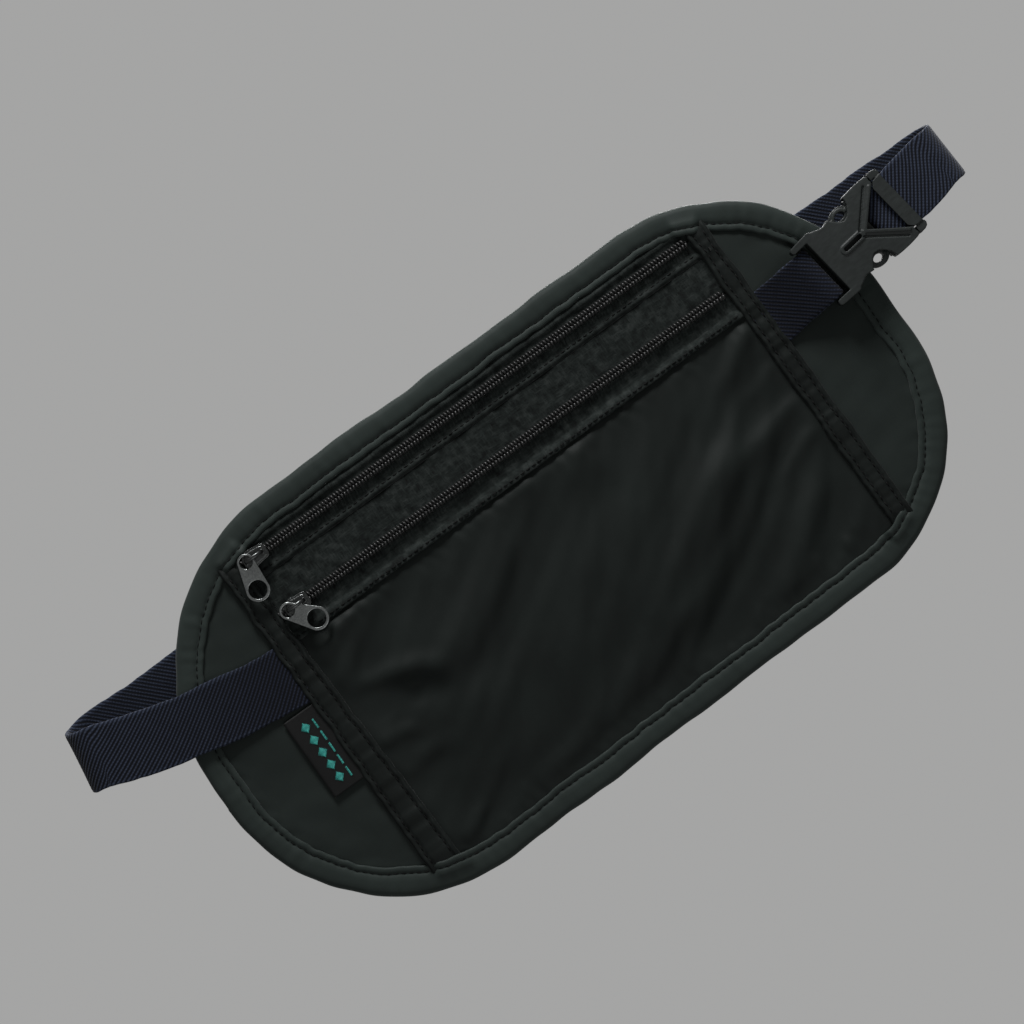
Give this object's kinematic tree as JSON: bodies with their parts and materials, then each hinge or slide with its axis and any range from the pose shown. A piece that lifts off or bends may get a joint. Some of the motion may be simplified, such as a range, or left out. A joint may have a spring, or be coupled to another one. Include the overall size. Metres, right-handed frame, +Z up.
{
  "type": "money belt",
  "caption": "Flat nylon waist pouch with two zipped pockets, worn on an elastic strap that closes with a side-release buckle.",
  "frame": {"origin": "middle of the pouch's flat rear face, which lies against the wearer's waist", "axes": "+X along the pouch's long side, from the end where the zips close to the buckle end; +Y backwards, out of the rear face; +Z up, towards the zips"},
  "size_m": [0.3729, 0.0232, 0.1554],
  "materials": {
    "nylon_fabric": "smooth black nylon with a soft sheen",
    "binding_fabric": "black folded nylon tape, topstitched",
    "zip_tape_fabric": "matt woven polyester tape",
    "zip_coil": "black polyester coil",
    "zip_metal": "gunmetal plated zinc",
    "elastic_webbing": "navy-black ribbed elastic",
    "buckle_plastic": "dark grey moulded acetal",
    "tag_fabric": "black woven tag with a plain teal motif"
  },
  "bodies": {
    "root": {"back_panel": "nylon_fabric", "pocket_divider": "nylon_fabric", "front_panel": "nylon_fabric", "left_side_panel": "nylon_fabric", "right_side_panel": "nylon_fabric", "edge_binding": "binding_fabric", "left_band": "binding_fabric", "right_band": "binding_fabric", "label_tag": "tag_fabric", "zip_upper_tape_top": "zip_tape_fabric", "zip_upper_tape_bottom": "zip_tape_fabric", "zip_lower_tape_top": "zip_tape_fabric", "zip_lower_tape_bottom": "zip_tape_fabric", "zip_upper_coil_top": "zip_coil", "zip_upper_coil_bottom": "zip_coil", "zip_lower_coil_top": "zip_coil", "zip_lower_coil_bottom": "zip_coil", "strap_left": "elastic_webbing", "strap_short": "elastic_webbing", "buckle_female": "buckle_plastic"},
    "slider_upper": {"slider_upper": "zip_metal"},
    "pull_tab_upper": {"pull_tab_upper": "zip_metal"},
    "slider_lower": {"slider_lower": "zip_metal"},
    "pull_tab_lower": {"pull_tab_lower": "zip_metal"},
    "buckle_male": {"buckle_male": "buckle_plastic", "strap_adjustable": "elastic_webbing"},
    "latch_arm_upper": {"latch_arm_upper": "buckle_plastic"},
    "latch_arm_lower": {"latch_arm_lower": "buckle_plastic"}
  },
  "joints": [
    {"name": "zip_upper_slide", "type": "slide", "parent": "root", "child": "slider_upper", "axis": [0.9999, 0, 0.0157], "range_m": [0, 0.175]},
    {"name": "pull_upper_swing", "type": "hinge", "parent": "slider_upper", "child": "pull_tab_upper", "pos_m": [-0.09, -0.0074, 0.05929], "axis": [0, 1, 0], "range_deg": [-57, 74]},
    {"name": "zip_lower_slide", "type": "slide", "parent": "root", "child": "slider_lower", "axis": [0.9999, 0, 0.0157], "range_m": [0, 0.173]},
    {"name": "pull_lower_swing", "type": "hinge", "parent": "slider_lower", "child": "pull_tab_lower", "pos_m": [-0.0877, -0.0074, 0.03722], "axis": [0, 1, 0], "range_deg": [-5, 126]},
    {"name": "buckle_release", "type": "slide", "parent": "root", "child": "buckle_male", "axis": [0.9885, 0, 0.1513], "range_m": [0, 0.022]},
    {"name": "latch_upper_squeeze", "type": "hinge", "parent": "buckle_male", "child": "latch_arm_upper", "pos_m": [0.14895, -0.0087, 0.03857], "axis": [0, -1, 0], "range_deg": [0, 9], "stiffness_Nm_per_rad": 0.4},
    {"name": "latch_lower_squeeze", "type": "hinge", "parent": "buckle_male", "child": "latch_arm_lower", "pos_m": [0.1517, -0.0087, 0.02057], "axis": [0, 1, 0], "range_deg": [0, 9], "stiffness_Nm_per_rad": 0.4}
  ]
}
